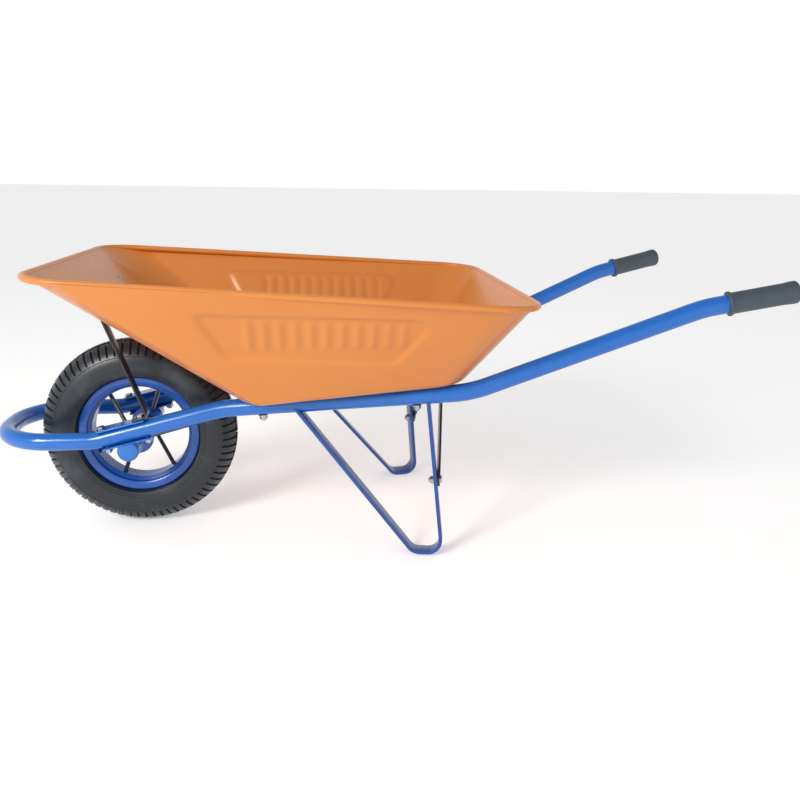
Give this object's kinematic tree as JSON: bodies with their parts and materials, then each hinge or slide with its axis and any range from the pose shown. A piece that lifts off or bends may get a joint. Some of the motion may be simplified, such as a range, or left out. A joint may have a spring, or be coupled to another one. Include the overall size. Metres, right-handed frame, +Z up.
{
  "type": "wheelbarrow",
  "caption": "Garden and building wheelbarrow with a pressed steel tray, a bent tube frame with strip legs, and a pneumatic wheel that turns.",
  "frame": {"origin": "on the ground, under the middle of the barrow's overall length and width", "axes": "+X from the wheel to the handles, +Y to the right-hand side of someone between the handles, +Z up; the ground is Z = 0"},
  "size_m": [1.4076, 0.6552, 0.5216],
  "materials": {
    "tube_paint": "gloss powder coat on steel tube",
    "leg_paint": "gloss powder coat on steel strip",
    "block_paint": "gloss powder coat on pressed steel",
    "rim_paint": "gloss powder coat on pressed steel",
    "spoke_paint": "satin dark paint on steel rod",
    "stay_paint": "semi-gloss black paint on steel strip",
    "tray_paint": "gloss powder coat on pressed sheet steel",
    "grip_rubber": "soft moulded sleeve, semi-gloss",
    "tyre": "moulded rubber, satin",
    "inner_tube": "smooth butyl rubber",
    "valve_rubber": "moulded rubber and plastic",
    "bush": "moulded nylon",
    "axle_steel": "turned bright steel",
    "wire": "drawn steel wire",
    "zinc": "bright zinc plate"
  },
  "bodies": {
    "frame": {"frame_tube": "tube_paint", "grip_left": "grip_rubber", "grip_right": "grip_rubber", "tray": "tray_paint", "rim_wire": "wire", "leg_left": "leg_paint", "leg_right": "leg_paint", "leg_brace_left": "stay_paint", "leg_brace_right": "stay_paint", "front_stay_left": "stay_paint", "front_stay_right": "stay_paint", "axle_block_left": "block_paint", "axle_block_right": "block_paint", "block_strap_left": "block_paint", "block_strap_right": "block_paint", "axle_bush_left": "bush", "axle_bush_right": "bush", "block_bolts": "zinc", "block_nuts": "zinc", "tray_bolts": "zinc", "tray_nuts": "zinc", "tray_washers": "zinc", "stay_bolts": "zinc", "stay_nuts": "zinc", "brace_bolts": "zinc", "brace_nuts": "zinc", "brace_tray_bolts": "zinc", "brace_tray_nuts": "zinc"},
    "wheel": {"tyre": "tyre", "inner_tube": "inner_tube", "rim": "rim_paint", "spokes": "spoke_paint", "hub": "rim_paint", "axle": "axle_steel", "axle_collars": "axle_steel", "valve_stem": "valve_rubber", "valve_cap": "valve_rubber"}
  },
  "joints": [
    {"name": "wheel_spin", "type": "hinge", "parent": "frame", "child": "wheel", "pos_m": [-0.4468, 0, 0.185], "axis": [0, 1, 0], "continuous": true}
  ]
}
